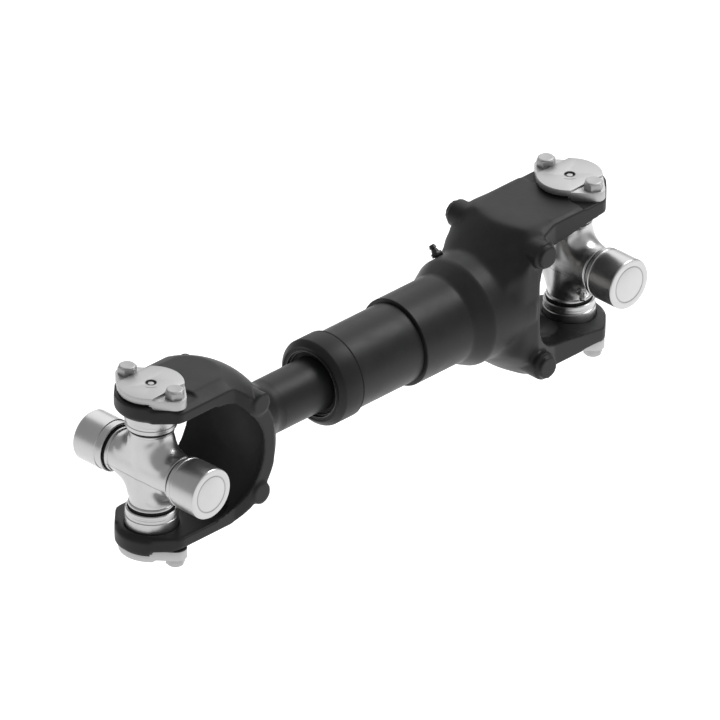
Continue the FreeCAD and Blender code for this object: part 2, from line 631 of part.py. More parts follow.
def yoke_shaft():
    """The front yoke, its neck, the plain shaft and the male spline, one forging."""
    half = arm_half()
    plan = prism([
        ("0", "0 - " + half),
        ("front_arm_end", "0 - " + half),
        ("front_wide_start", "0 - front_wide_half"),
        ("2 * front_dome_radius", "0 - front_wide_half"),
        ("2 * front_dome_radius", "front_wide_half"),
        ("front_wide_start", "front_wide_half"),
        ("front_arm_end", half),
        ("0", half),
    ], "3 * front_dome_radius")
    outline = fuse(plan, *lug_plan())
    forging = common(outline, swing_stock("front_dome_radius", "front_dome_centre"),
                     lug_slices("front_crown_radius"))
    back = "(front_dome_centre + sqrt(front_dome_radius ^ 2 - (shaft_diameter / 2 + neck_growth) ^ 2) - overrun)"
    neck = cone("shaft_diameter / 2 + neck_growth", "shaft_diameter / 2", "neck_length", back,
                rotation=ALONG_X)
    shaft_start = "(front_dome_centre + front_dome_radius - neck_growth)"
    shaft = cylinder("shaft_diameter / 2", "shaft_reach - " + shaft_start, shaft_start, rotation=ALONG_X)
    bowl = sphere("front_bowl_radius", "front_bowl_centre")
    slot = box("2 * lug_nose_radius + front_bowl_centre", "4 * cup_span", "2 * lug_inner_half",
               "0 - 2 * lug_nose_radius", "0 - 2 * cup_span", "0 - lug_inner_half")
    bowl_inside = common(bowl, box("4 * cup_span", "4 * cup_span", "2 * lug_inner_half", "0 - cup_span",
                                   "0 - 2 * cup_span", "0 - lug_inner_half"))
    blank = fuse(forging, *nubs("nub_radius", "front_nub_position", "front_nub_height", "front_nub_reach"))
    yoke = cut(blank, slot, bowl_inside, *nose_breaks(), *pad_seats(), *lug_holes())
    teeth = spline_teeth("shaft_diameter / 2 - overrun", "spline_tip_radius", "spline_tooth_width", "spline_length",
                         "(shaft_reach - spline_length)")
    whole = fuse(yoke, neck, shaft, teeth)
    return subpart("yoke_shaft", put(whole, FRONT))


def rear_shoulder():
    """A bar that ends in the cone between the rear yoke's arms and the hub."""
    back = "(2 * lug_nose_radius)"
    bar = cylinder("rear_dome_radius + overrun", "rear_shoulder_start + " + back, "0 - " + back, rotation=ALONG_X)
    taper = cone("rear_shoulder_radius", "hub_radius - overrun", "rear_shoulder_end - rear_shoulder_start",
                 "rear_shoulder_start", rotation=ALONG_X)
    return fuse(bar, taper)


def sleeve_yoke():
    """The rear yoke, its hub, the stepped sleeve and the female spline, one forging."""
    half = arm_half()
    plan = prism([
        ("0", "0 - " + half),
        ("rear_arm_end", "0 - " + half),
        ("rear_wide_start", "0 - rear_wide_half"),
        ("rear_wide_end", "0 - rear_wide_half"),
        ("rear_waist_end", "0 - rear_waist_half"),
        ("2 * rear_dome_radius", "0 - rear_waist_half"),
        ("2 * rear_dome_radius", "rear_waist_half"),
        ("rear_waist_end", "rear_waist_half"),
        ("rear_wide_end", "rear_wide_half"),
        ("rear_wide_start", "rear_wide_half"),
        ("rear_arm_end", half),
        ("0", half),
    ], "3 * rear_dome_radius")
    outline = fuse(plan, *lug_plan())
    forging = common(outline, swing_stock("rear_dome_radius", "rear_dome_centre"), rear_shoulder(),
                     lug_slices("rear_crown_radius"))
    blank = fuse(forging, *nubs("nub_radius", "rear_nub_position", "rear_nub_height", "rear_nub_reach"),
                 *nubs("nub_collar_radius", "rear_nub_position", "rear_nub_height",
                       "(rear_nub_reach - nub_collar_drop)"))
    straight = "(rear_throat_depth - rear_throat_corner)"
    mouth = prism([
        ("0 - 2 * lug_nose_radius", "0 - lug_inner_half"),
        ("lug_nose_radius * 0.1", "0 - lug_inner_half"),
        ("rear_taper_length", "0 - rear_throat_half"),
        (straight, "0 - rear_throat_half"),
        (straight, "rear_throat_half"),
        ("rear_taper_length", "rear_throat_half"),
        ("lug_nose_radius * 0.1", "lug_inner_half"),
        ("0 - 2 * lug_nose_radius", "lug_inner_half"),
    ], "4 * cup_span", SIDE_VIEW)
    corner = "(rear_throat_half - rear_throat_corner)"
    throat = [mouth, box("rear_throat_depth", "4 * cup_span", "2 * " + corner, "0", "0 - 2 * cup_span",
                         "0 - " + corner)]
    for side in ("", "0 - "):
        throat.append(cylinder("rear_throat_corner", "4 * cup_span", straight, "0 - 2 * cup_span",
                               side + corner, ALONG_Y))
    dish = sphere("rear_bowl_radius", "rear_bowl_centre")
    yoke = cut(blank, *throat, dish, *nose_breaks(), *pad_seats(), *lug_holes())
    body = fuse(yoke, sleeve_outside())
    bore = cylinder("spline_tip_radius + spline_play", "joint_spacing - sleeve_end - plug_position + overrun",
                    "plug_position", rotation=ALONG_X)
    seat = cylinder("plug_seat_radius", "plug_position", rotation=ALONG_X)
    turned_round = put(cut(body, bore, seat), REAR, rotation=Rotation(Vector(0, 0, 1), 180))
    whole = fuse(turned_round, put(sleeve_lands(), FRONT))
    return subpart("sleeve_yoke", cut(whole, fitting_seat(*hub_fitting_place())))


def hub_fitting_place():
    """The hub's grease fitting stands radially, halfway between up and the far side."""
    height = "hub_radius * sqrt(0.5)"
    return REAR + " - zerk_position", height, height, Rotation(Vector(0, 0, 1), Vector(0, 1, 1))


def sleeve_outside():
    """Hub, cone and stepped sleeve as one turned bar, along u from the rear joint."""
    bar = turned([
        ("0", "rear_shoulder_start"),
        ("hub_radius", "rear_shoulder_start"),
        ("hub_radius", "hub_start - 2 * hub_break"),
        ("hub_radius - hub_break", "hub_start"),
        ("sleeve_large_radius", "joint_spacing - hub_cone_start"),
        ("sleeve_large_radius", "joint_spacing - sleeve_step"),
        ("sleeve_small_radius", "joint_spacing - sleeve_step"),
        ("sleeve_small_radius", "joint_spacing - sleeve_end - sleeve_thread_length"),
        ("sleeve_thread_radius", "joint_spacing - sleeve_end - sleeve_thread_length"),
        ("sleeve_thread_radius", "joint_spacing - sleeve_end"),
        ("0", "joint_spacing - sleeve_end"),
    ])
    return put(bar, rotation=ALONG_X)


def sleeve_lands():
    """The female spline: the ribs left between the slots, from relief bore to relief bore."""
    start = "(sleeve_end + sleeve_bore_start)"
    length = "(joint_spacing - plug_position - sleeve_bore_relief - " + start + ")"
    outer = "(spline_tip_radius + spline_play)"
    inner = "(shaft_diameter / 2 + spline_play)"
    tube = cut(cylinder(outer + " + overrun", length, start, rotation=ALONG_X),
               cylinder(inner, length + " + 2 * overrun", start + " - overrun", rotation=ALONG_X))
    slots = spline_teeth(inner + " - overrun", outer, "(spline_tooth_width + 2 * spline_side_play)",
                         length + " + 2 * overrun", "(" + start + " - overrun)")
    return cut(tube, slots)


# ---- dust cap, plug --------------------------------------------------------------------------------

def dust_cap():
    """A turned cap, screwed on the sleeve's reduced end, with a bevelled front and an open mouth."""
    end = "(sleeve_end + sleeve_thread_length)"
    cap = turned([
        ("cap_mouth_radius", "cap_front"),
        ("cap_radius - cap_chamfer", "cap_front"),
        ("cap_radius - cap_edge", "cap_front + cap_chamfer - cap_edge"),
        ("cap_radius", "cap_front + cap_chamfer + cap_edge"),
        ("cap_radius", end + " - cap_edge"),
        ("cap_radius - cap_edge", end),
        ("sleeve_thread_radius", end),
        ("sleeve_thread_radius", "cap_front + cap_face_thickness"),
        ("cap_mouth_radius", "cap_front + cap_face_thickness"),
    ])
    return subpart("dust_cap", put(cap, FRONT, rotation=ALONG_X))


def ring(label, inner, outer, start, thickness):
    """A flat ring on the shaft axis, its start measured from the front joint centre."""
    band = turned([
        (inner, start),
        (outer, start),
        (outer, start + " + " + thickness),
        (inner, start + " + " + thickness),
    ])
    return subpart(label, put(band, FRONT, rotation=ALONG_X))


def bore_plug():
    """A dished steel plug that closes the spline bore at the base of the rear throat."""
    plug = turned([
        ("0", "plug_position + plug_thickness"),
        ("0", "plug_position + plug_thickness * 0.2"),
        ("plug_seat_radius * 0.55", "plug_position + plug_thickness * 0.1"),
        ("plug_seat_radius * 0.8", "plug_position - plug_thickness"),
        ("plug_seat_radius", "plug_position - plug_thickness"),
        ("plug_seat_radius", "plug_position"),
        ("plug_seat_radius * 0.85", "plug_position"),
    ])
    turn = Rotation(Vector(0, 1, 0), -90)
    return subpart("bore_plug", put(plug, REAR, rotation=turn))


# ---- assembly ----------------------------------------------------------------------------------------

yoke_shaft()
sleeve_yoke()
dust_cap()
ring("dust_cap_washer", "washer_bore_radius", "sleeve_thread_radius",
     "(cap_front + cap_face_thickness)", "washer_thickness")
ring("dust_seal", "shaft_diameter / 2 + spline_play", "sleeve_thread_radius",
     "(cap_front + cap_face_thickness + washer_thickness)", "seal_ring_thickness")
bore_plug()

grease_fitting("sleeve_grease_fitting", *hub_fitting_place())

for end_name, (joint_centre, inward, side) in ENDS.items():
    joint_cross(end_name + "_cross", joint_centre, inward, side)
    x, y, z, lean = crotch_place(inward, side)
    grease_fitting(end_name + "_cross_grease_fitting", f"{joint_centre} + {x}", y, z, lean)
    for arm_name, arm_turn in ARMS.items():
        prefix = end_name + "_" + arm_name
        bearing_cup(prefix + "_cup", joint_centre, arm_turn)
        cup_seal(prefix + "_cup_seal", joint_centre, arm_turn)
        thrust_washer(prefix + "_thrust_washer", joint_centre, arm_turn)
        needle_rollers(prefix + "_needle_rollers", joint_centre, arm_turn)
    for arm_name in ("top", "bottom"):
        bearing_plate(end_name + "_" + arm_name + "_plate", joint_centre, ARMS[arm_name])
        plate_bolts(end_name + "_" + arm_name + "_plate_bolts", joint_centre, ARMS[arm_name])

doc.recompute()

faults = [f"{thing.Name} ({thing.Label}): {thing.State}" for thing in doc.Objects
          if "Invalid" in thing.State or "Error" in thing.State]
for node in NODES:
    if node.Shape.isNull() or not node.Shape.isValid():
        faults.append(node.Label + ": shape is null or not valid")
if faults:
    raise RuntimeError("\n".join(faults))

os.makedirs("parts", exist_ok=True)
for node in NODES:
    node.Shape.exportStep(os.path.join("parts", node.Label + ".step"))
    print(f"{node.Label:34s} solids {len(node.Shape.Solids):3d}  volume {node.Shape.Volume:12.1f}")
print(len(NODES), "nodes")
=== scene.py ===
import math

import bmesh
import bpy
from mathutils import Matrix, Vector


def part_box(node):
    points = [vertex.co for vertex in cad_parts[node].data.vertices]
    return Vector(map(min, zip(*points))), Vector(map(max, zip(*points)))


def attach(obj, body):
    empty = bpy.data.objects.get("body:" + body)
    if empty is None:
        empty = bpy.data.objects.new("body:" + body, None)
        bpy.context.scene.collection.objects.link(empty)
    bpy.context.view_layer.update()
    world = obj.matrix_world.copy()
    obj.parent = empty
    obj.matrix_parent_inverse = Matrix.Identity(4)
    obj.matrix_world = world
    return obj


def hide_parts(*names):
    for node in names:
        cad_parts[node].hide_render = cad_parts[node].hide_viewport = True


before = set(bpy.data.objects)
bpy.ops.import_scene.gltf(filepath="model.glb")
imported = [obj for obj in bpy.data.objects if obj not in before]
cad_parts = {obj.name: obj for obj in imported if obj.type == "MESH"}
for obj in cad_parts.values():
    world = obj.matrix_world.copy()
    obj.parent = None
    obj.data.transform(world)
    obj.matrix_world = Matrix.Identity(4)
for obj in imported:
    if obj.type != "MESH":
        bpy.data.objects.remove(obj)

bl_info = {
    "name": "Universal Joint Shaft",
    "version": (1, 0, 0),
    "blender": (4, 5, 0),
    "location": "View3D > Sidebar > Joint Shaft",
    "description": "Builds the finished pieces of a slip shaft with a universal joint at each end",
    "category": "Object",
}

MM = 0.001
ENDS = ("front", "rear")
HELD = ("top", "bottom")
ALONG = Vector((1, 0, 0))
ARMS = {
    "top": Vector((0, 0, 1)),
    "bottom": Vector((0, 0, -1)),
    "near": Vector((0, -1, 0)),
    "far": Vector((0, 1, 0)),
}
YOKE = {"front": "yoke_shaft", "rear": "sleeve"}
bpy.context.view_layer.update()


def joint_centre(end):
    """Where the four arms of a cross meet."""
    low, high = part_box(f"{end}_top_cup")
    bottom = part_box(f"{end}_bottom_cup")[0]
    return Vector(((low[0] + high[0]) / 2, (low[1] + high[1]) / 2, (high[2] + bottom[2]) / 2))


def arm_body(end, arm):
    """The body that carries a cup: the yoke for a held cup, its own for a free one."""
    return YOKE[end] if arm in HELD else f"{end}_{arm}_cup"


CENTRE = {end: joint_centre(end) for end in ENDS}
HALF_SPACING = (CENTRE["rear"] - CENTRE["front"]).x / 2

# Facets round a turned surface.
SLEEVE_STEPS, SHAFT_STEPS, CUP_STEPS, CROSS_STEPS, CROWN_STEPS, SHANK_STEPS = 160, 128, 128, 96, 64, 48
MERGE = 1e-7

# A trunnion from its shoulder out: distance from the joint centre and radius, in millimetres.
TRUNNION = (
    (36.5, 0), (36.5, 20.2), (37.2, 21.1), (37.8, 21.6), (39.3, 21.7), (39.7, 21.3), (39.7, 18.4),
    (40.5, 17.2), (41.6, 16.65), (68.0, 16.65), (68.7, 15.8), (68.7, 0),
)

# Area lights that look at the origin: name, place, side in metres, watts.
LIGHTS = (
    ("back_light", (1.7, 1.7, 1.9), 3.2, 34),
    ("top_light", (1.7, -0.5, 2.1), 1.3, 34),
    ("right_light", (1.4, -2.2, 0.9), 1.8, 2.5),
)


# ---- sizes and finishes ---------------------------------------------------------------------

def length(name, description, millimetres):
    """A size."""
    return bpy.props.FloatProperty(
        name=name, description=description, default=millimetres * MM, min=0.0, unit="LENGTH", precision=5)


def share(name, description, default):
    """A value from 0 to 1."""
    return bpy.props.FloatProperty(name=name, description=description, default=default, min=0.0, max=1.0,
                                   subtype="FACTOR")


def shade(name, description, red, green, blue):
    """A colour."""
    return bpy.props.FloatVectorProperty(
        name=name, description=description, default=(red, green, blue), min=0.0, max=1.0, subtype="COLOR")


def passes(name, description, default):
    """How many times a surface is relaxed."""
    return bpy.props.IntProperty(name=name, description=description, default=default, min=0, max=200)


class ForgingSizes(bpy.types.PropertyGroup):
    yoke_grain: length("Yoke grain", "Size of the smallest form kept on the yokes", 1.15)
    cross_grain: length("Cross grain", "Size of the smallest form kept on the crosses", 0.8)
    cross_arm: length("Cross arm", "Radius of a cross's arms next to the shoulders", 20.4)
    web_half: length("Web", "Half thickness of a cross between its arms", 19.5)
    web_round: length("Web edge", "How far the web's edge is rounded off inwards", 12)
    web_hollow: length("Crotch", "Hollow round between two arms", 17)
    yoke_passes: passes("Yoke blending", "How far the yokes' edges run together", 9)
    hub_passes: passes("Hub blending", "How far the yokes' backs run together", 50)
    cross_passes: passes("Cross blending", "How far the crosses' edges run together", 75)


class CupSizes(bpy.types.PropertyGroup):
    radius: length("Radius", "Outside of a bearing cup", 24.6)
    end: length("End", "Closed end from the joint centre", 77.4)
    ground_end: length("Ground end", "Where the ground outside stops, from the joint centre", 50.4)
    mouth: length("Mouth", "Open end from the joint centre", 42.5)
    neck_radius: length("Neck radius", "Groove behind the ground outside", 23.8)
    lip_radius: length("Lip radius", "Rolled lip at the mouth", 24.2)
    bore_radius: length("Bore radius", "Bore that the rollers run in", 20.01)
    seal_radius: length("Seal radius", "Seat of the seal", 22.2)
    seal_depth: length("Seal depth", "Depth of the seal's seat", 3.8)
    floor: length("Floor", "Bottom of the bore from the joint centre", 70.9)
    scribe_radius: length("Scribe radius", "Turned ring on the closed end", 17.6)
    scribe_width: length("Scribe width", "Width of the turned ring", 0.5)


class ShaftSizes(bpy.types.PropertyGroup):
    edge: length("Edge", "Rounding of a machined edge", 0.22)
    plain_radius: length("Shaft radius", "Plain shaft", 26.1)
    cap_radius: length("Cap radius", "Outside of the dust cap", 42.4)
    cap_mouth: length("Cap mouth", "Mouth of the dust cap", 32.6)
    cap_bevel: length("Cap bevel", "Front bevel of the dust cap", 5.0)
    small_radius: length("Small sleeve radius", "Sleeve next to the dust cap", 39.25)
    large_radius: length("Large sleeve radius", "Sleeve next to the hub", 43.0)
    thread_radius: length("Thread radius", "Reduced end of the sleeve", 38.0)
    hub_radius: length("Hub radius", "Hub of the sleeve yoke", 52.5)
    spline_bore: length("Spline bore", "Bore round the tips of the male spline", 31.0)


class Finishes(bpy.types.PropertyGroup):
    forging: shade("Forging", "Black coat of the forgings", 0.0125, 0.0125, 0.013)
    cap: shade("Cap", "Black of the dust cap", 0.009, 0.009, 0.009)
    cup: shade("Cup", "Ground steel of the cups", 0.54, 0.54, 0.54)
    cross: shade("Cross", "Bright steel of the crosses", 0.54, 0.54, 0.54)
    plate: shade("Plate", "Satin steel of the bearing plates", 0.49, 0.49, 0.49)
    bolt: shade("Bolt", "Bright steel of the plate bolts", 0.45, 0.45, 0.45)
    forging_roughness: share("Forging roughness", "Gloss of the black coat", 0.46)
    cross_roughness: share("Cross roughness", "Gloss of the crosses", 0.30)
    cup_roughness: share("Cup roughness", "Gloss of the cups", 0.30)
    plate_roughness: share("Plate roughness", "Gloss of the plates", 0.50)


class Studio(bpy.types.PropertyGroup):
    lens: bpy.props.FloatProperty(name="Lens", description="Focal length of the camera", default=1400.0,
                                  unit="CAMERA")
    width: length("Width", "Width of the view at the shaft", 658.7)
    azimuth: bpy.props.FloatProperty(name="Azimuth", description="Camera's turn round the shaft",
                                     default=math.radians(-45), unit="ROTATION")
    elevation: bpy.props.FloatProperty(name="Elevation", description="Camera's height over the shaft",
                                       default=math.radians(30), unit="ROTATION")
    right: bpy.props.FloatProperty(name="Right", description="Aim, to the right of the middle",
                                   default=-1.55 * MM, unit="LENGTH", precision=5)
    up: bpy.props.FloatProperty(name="Up", description="Aim, above the middle", default=-1.0 * MM,
                                unit="LENGTH", precision=5)
    floor_drop: length("Floor drop", "Floor below the shaft", 420)
    sky: shade("Sky", "Light from all round", 0.80, 0.80, 0.80)


# ---- materials ------------------------------------------------------------------------------

def fresh_material(name):
    """An empty material with a shader and its output."""
    material = bpy.data.materials.new(name)
    material.use_nodes = True
    tree = material.node_tree
    tree.nodes.clear()
    output = tree.nodes.new("ShaderNodeOutputMaterial")
    shader = tree.nodes.new("ShaderNodeBsdfPrincipled")
    tree.links.new(shader.outputs["BSDF"], output.inputs["Surface"])
    return material, tree, shader


def feed(tree, socket, source):
    """Links a socket to another one, or sets its value."""
    if isinstance(source, bpy.types.NodeSocket):
        tree.links.new(source, socket)
    else:
        socket.default_value = source


def add(tree, kind, **inputs):
    """A node and its inputs by name, or by number after an underscore."""
    made = tree.nodes.new(kind)
    for key, source in inputs.items():
        feed(tree, made.inputs[int(key[1:]) if key[0] == "_" else key.replace("_", " ")], source)
    return made


def place(tree):
    """Where a point is on the object, in metres."""
    return add(tree, "ShaderNodeTexCoord").outputs["Object"]


def stretched(tree, scale):
    """The place, stretched by a different amount each way."""
    return add(tree, "ShaderNodeMapping", Vector=place(tree), Scale=scale).outputs["Vector"]


def cloud(tree, vector, scale, detail=3.0, roughness=0.5):
    """Noise from 0 to 1."""
    return add(tree, "ShaderNodeTexNoise", Vector=vector, Scale=scale, Detail=detail,
               Roughness=roughness).outputs["Fac"]


def spread(tree, fac, low, high):
    """A cloud's middle range, spread from low to high."""
    return add(tree, "ShaderNodeMapRange", _0=fac, _1=0.3, _2=0.7, _3=low, _4=high).outputs[0]


def math_node(tree, operation, *values):
    """The result of one sum on sockets or numbers."""
    made = tree.nodes.new("ShaderNodeMath")
    made.operation = operation
    for socket, source in zip(made.inputs, values):
        feed(tree, socket, source)
    return made.outputs[0]


def mixed(tree, fac, first, second, blend="MIX"):
    """Two colours mixed by a factor."""
    made = tree.nodes.new("ShaderNodeMix")
    made.data_type = "RGBA"
    made.blend_type = blend
    for name, source in (("Factor_Float", fac), ("A_Color", first), ("B_Color", second)):
        feed(tree, next(socket for socket in made.inputs if socket.identifier == name), source)
    return next(socket for socket in made.outputs if socket.identifier == "Result_Color")


def tinted(colour, share_of):
    """A colour made lighter or darker, with its alpha."""
    return tuple(part * share_of for part in colour) + (1.0,)


def bumped(tree, shader, layers):
    """Bumps from (height, distance) layers, one over the other."""
    normal = None
    for height, distance in layers:
        bump = add(tree, "ShaderNodeBump", Height=height, Distance=distance, Strength=1.0)
        if normal is not None:
            tree.links.new(normal, bump.inputs["Normal"])
        normal = bump.outputs["Normal"]
    tree.links.new(normal, shader.inputs["Normal"])


def black_coat(name, colour, roughness, grain=0.000012, wave=0.00006, specular=0.27):
    """Thin satin black over a forging: faint mottling, dust, and the forging's waviness."""
    material, tree, shader = fresh_material(name)
    mottle = cloud(tree, place(tree), 55, 5, 0.6)
    dust = cloud(tree, place(tree), 900, 4, 0.7)
    patches = spread(tree, mottle, 0.0, 1.0)
    ground = mixed(tree, patches, tinted(colour, 0.80), tinted(colour, 1.25))
    speckle = add(tree, "ShaderNodeMapRange", _0=dust, _1=0.62, _2=0.75, _3=0.0, _4=0.35).outputs[0]
    tree.links.new(mixed(tree, speckle, ground, tinted(colour, 2.4)), shader.inputs["Base Color"])
    tree.links.new(spread(tree, mottle, roughness - 0.05, roughness + 0.05), shader.inputs["Roughness"])
    shader.inputs["Specular IOR Level"].default_value = specular
    bumped(tree, shader, [
        (cloud(tree, place(tree), 160, 3, 0.5), wave),
        (cloud(tree, place(tree), 1500, 2, 0.6), grain),
    ])
    return material


def bright_steel(name, colour, roughness, stretch=(1, 1, 1), lines=600, depth=0.0000012,
                 variation=0.05):
    """Worked steel: tool marks that run one way, with faint clouds of tone and gloss."""
    material, tree, shader = fresh_material(name)
    marks = cloud(tree, stretched(tree, stretch), lines, 4, 0.65)
    clouds = cloud(tree, place(tree), 45, 4, 0.55)
    tone = math_node(tree, "ADD", math_node(tree, "MULTIPLY", marks, 0.5),
                     math_node(tree, "MULTIPLY", clouds, 0.5))
    ground = mixed(tree, spread(tree, tone, 0.0, 1.0), tinted(colour, 1 - variation),
                   tinted(colour, 1 + variation / 2))
    tree.links.new(ground, shader.inputs["Base Color"])
    tree.links.new(spread(tree, tone, roughness - 0.03, roughness + 0.04), shader.inputs["Roughness"])
    shader.inputs["Metallic"].default_value = 1.0
    bumped(tree, shader, [(marks, depth)])
    return material


def nodes_of(material):
    """A material's tree and its shader."""
    tree = material.node_tree
    return tree, next(node for node in tree.nodes if node.type == "BSDF_PRINCIPLED")


def near_line(tree, distance, half_width):
    """1 on a line and 0 beside it, by the distance from it."""
    core = 0.4
    return add(tree, "ShaderNodeMapRange", _0=math_node(tree, "ABSOLUTE", distance),
               _1=half_width * core, _2=half_width, _3=1.0, _4=0.0).outputs[0]


def darkened(tree, shader, mask, share_of):
    """The base colour multiplied down where the mask is 1."""
    source = shader.inputs["Base Color"].links[0].from_socket
    dark = (share_of, share_of, share_of, 1.0)
    tree.links.new(mixed(tree, mask, source, dark, "MULTIPLY"), shader.inputs["Base Color"])


def from_axis(tree, across):
    """How far a point is from the axis of the nearer joint's arms, across X and one more direction."""
    parts = add(tree, "ShaderNodeSeparateXYZ", Vector=place(tree))
    sideways = math_node(tree, "SUBTRACT", math_node(tree, "ABSOLUTE", parts.outputs["X"]), HALF_SPACING)
    square = math_node(tree, "MULTIPLY", sideways, sideways)
    other = math_node(tree, "MULTIPLY", parts.outputs[across], parts.outputs[across])
    return math_node(tree, "SQRT", math_node(tree, "ADD", square, other))


def cup_material(name, finishes, along, across, stretch):
    """Ground steel, its marks running round the cup, with painted shade darkening the turned ring on the
    closed end.
    """
    end_from, ring_radius, ring_half_width, ring_shade = 76.9 * MM, 17.6 * MM, 1.0 * MM, 0.62
    material = bright_steel(name, finishes.cup, finishes.cup_roughness, stretch, 900)
    tree, shader = nodes_of(material)
    parts = add(tree, "ShaderNodeSeparateXYZ", Vector=place(tree))
    on_end = math_node(tree, "GREATER_THAN", math_node(tree, "ABSOLUTE", parts.outputs[along]), end_from)
    # Painted shade: the turned ring on the closed end is darkened in colour, as shade in its groove.
    ring = near_line(tree, math_node(tree, "SUBTRACT", from_axis(tree, across), ring_radius),
                     ring_half_width)
    darkened(tree, shader, math_node(tree, "MULTIPLY", ring, on_end), ring_shade)
    return material


def cross_material(finishes):
    """Shot-blasted forging, bright, with its parting line across the front and back."""
    seam_drop, seam_half_width, seam_height = 7.6 * MM, 0.45 * MM, 0.12 * MM
    seam_strength, seam_shade = 0.55, 0.35
    material = bright_steel("CrossSteel", finishes.cross, finishes.cross_roughness, lines=260,
                            depth=0.0000015)
    tree, shader = nodes_of(material)
    parts = add(tree, "ShaderNodeSeparateXYZ", Vector=place(tree))
    seam = near_line(tree, math_node(tree, "ADD", parts.outputs["Z"], seam_drop), seam_half_width)
    darkened(tree, shader, math_node(tree, "MULTIPLY", seam, seam_strength), seam_shade)
    last = shader.inputs["Normal"].links[0].from_socket
    ridge = add(tree, "ShaderNodeBump", Height=seam, Distance=seam_height, Strength=1.0, Normal=last)
    tree.links.new(ridge.outputs["Normal"], shader.inputs["Normal"])
    return material


def plate_material(finishes):
    """Satin plate, with painted shade in the ring of its central dimple and in the arc beside it."""
    ring_radius, ring_half_width, ring_shade = 4.4 * MM, 1.5 * MM, 0.22
    arc_radius, arc_half_width, arc_shade, arc_chord = 9.4 * MM, 0.7 * MM, 0.45, -11.2 * MM
    material = bright_steel("PlateSteel", finishes.plate, finishes.plate_roughness, lines=420,
                            depth=0.000002, variation=0.04)
    tree, shader = nodes_of(material)
    radius = from_axis(tree, "Y")
    # Painted shade: the rim of the central dimple is darkened in colour.
    ring = near_line(tree, math_node(tree, "SUBTRACT", radius, ring_radius), ring_half_width)
    darkened(tree, shader, ring, ring_shade)
    # Painted shade: a dark arc beside the dimple, where a groove would be shaded.
    parts = add(tree, "ShaderNodeSeparateXYZ", Vector=place(tree))
    offset = math_node(tree, "SUBTRACT", math_node(tree, "ABSOLUTE", parts.outputs["X"]), HALF_SPACING)
    sideways = math_node(tree, "MULTIPLY", offset, math_node(tree, "SIGN", parts.outputs["X"]))
    lean = math_node(tree, "ADD", sideways, parts.outputs["Y"])
    in_arc = math_node(tree, "LESS_THAN", lean, arc_chord)
    arc = near_line(tree, math_node(tree, "SUBTRACT", radius, arc_radius), arc_half_width)
    darkened(tree, shader, math_node(tree, "MULTIPLY", arc, in_arc), arc_shade)
    return material


def rubber(name):
    """Matt black rubber with moulding bloom."""
    material, tree, shader = fresh_material(name)
    bloom = cloud(tree, place(tree), 300, 4, 0.6)
    ground = mixed(tree, spread(tree, bloom, 0.0, 1.0), (0.004, 0.004, 0.004, 1),
                   (0.010, 0.010, 0.010, 1))
    tree.links.new(ground, shader.inputs["Base Color"])
    tree.links.new(spread(tree, bloom, 0.6, 0.75), shader.inputs["Roughness"])
    shader.inputs["Specular IOR Level"].default_value = 0.25
    bumped(tree, shader, [(cloud(tree, place(tree), 1200, 2), 0.00003)])
    return material


def plastic(name):
    """Dark moulded plastic."""
    material, tree, shader = fresh_material(name)
    flow = cloud(tree, stretched(tree, (1, 1, 6)), 90, 4, 0.6)
    ground = mixed(tree, spread(tree, flow, 0.0, 1.0), (0.018, 0.018, 0.018, 1),
                   (0.028, 0.028, 0.028, 1))
    tree.links.new(ground, shader.inputs["Base Color"])
    tree.links.new(spread(tree, flow, 0.4, 0.5), shader.inputs["Roughness"])
    bumped(tree, shader, [(flow, 0.00004)])
    return material


def floor_material(name):
    """Pale studio floor with a breath of unevenness."""
    material, tree, shader = fresh_material(name)
    drift = cloud(tree, place(tree), 1.5, 2, 0.5)
    ground = mixed(tree, spread(tree, drift, 0.0, 1.0), (0.90, 0.90, 0.90, 1), (0.93, 0.93, 0.93, 1))
    tree.links.new(ground, shader.inputs["Base Color"])
    shader.inputs["Roughness"].default_value = 0.9
    shader.inputs["Specular IOR Level"].default_value = 0.1
    shader.inputs["Emission Color"].default_value = (1.0, 1.0, 1.0, 1.0)
    shader.inputs["Emission Strength"].default_value = 0.52
    return material


MATERIALS = {}


def make_materials(finishes):
    """Every finish by name, made once."""
    if MATERIALS:
        return
    MATERIALS["forging"] = black_coat("ForgedBlack", finishes.forging, finishes.forging_roughness)
    MATERIALS["turned_black"] = black_coat("TurnedBlack", finishes.forging,
                                           finishes.forging_roughness - 0.04, wave=0.00004)
    MATERIALS["cap"] = black_coat("CapBlack", finishes.cap, finishes.forging_roughness, wave=0.00003)
    MATERIALS["fitting_black"] = black_coat("FittingBlack", finishes.cap, 0.3, wave=0.00002, specular=0.5)
    MATERIALS["cup_free"] = cup_material("CupSteelFree", finishes, "Y", "Z", (0.04, 1.0, 0.04))
    MATERIALS["cup_held"] = cup_material("CupSteelHeld", finishes, "Z", "Y", (0.04, 0.04, 1.0))
    MATERIALS["cross"] = cross_material(finishes)
    MATERIALS["plate"] = plate_material(finishes)
    MATERIALS["bolt"] = bright_steel("BoltSteel", finishes.bolt, 0.55, lines=700)
    MATERIALS["fitting"] = bright_steel("FittingSteel", finishes.bolt, 0.25, lines=800)
    MATERIALS["roller"] = bright_steel("RollerSteel", finishes.cup, 0.16, lines=1200, depth=0.0000005)
    MATERIALS["plug"] = bright_steel("PlugSteel", (0.40, 0.39, 0.37), 0.42, lines=400)
    # Lighter bare-metal grey for the dust cap's mouth rings: a painted highlight along the mouth's edges.
    MATERIALS["painted_highlight"] = bright_steel("PaintedHighlightRing", (0.16, 0.16, 0.16), 0.45, lines=500)
    MATERIALS["rubber"] = rubber("SealRubber")
    MATERIALS["plastic"] = plastic("WasherPlastic")


# ---- mesh making ----------------------------------------------------------------------------

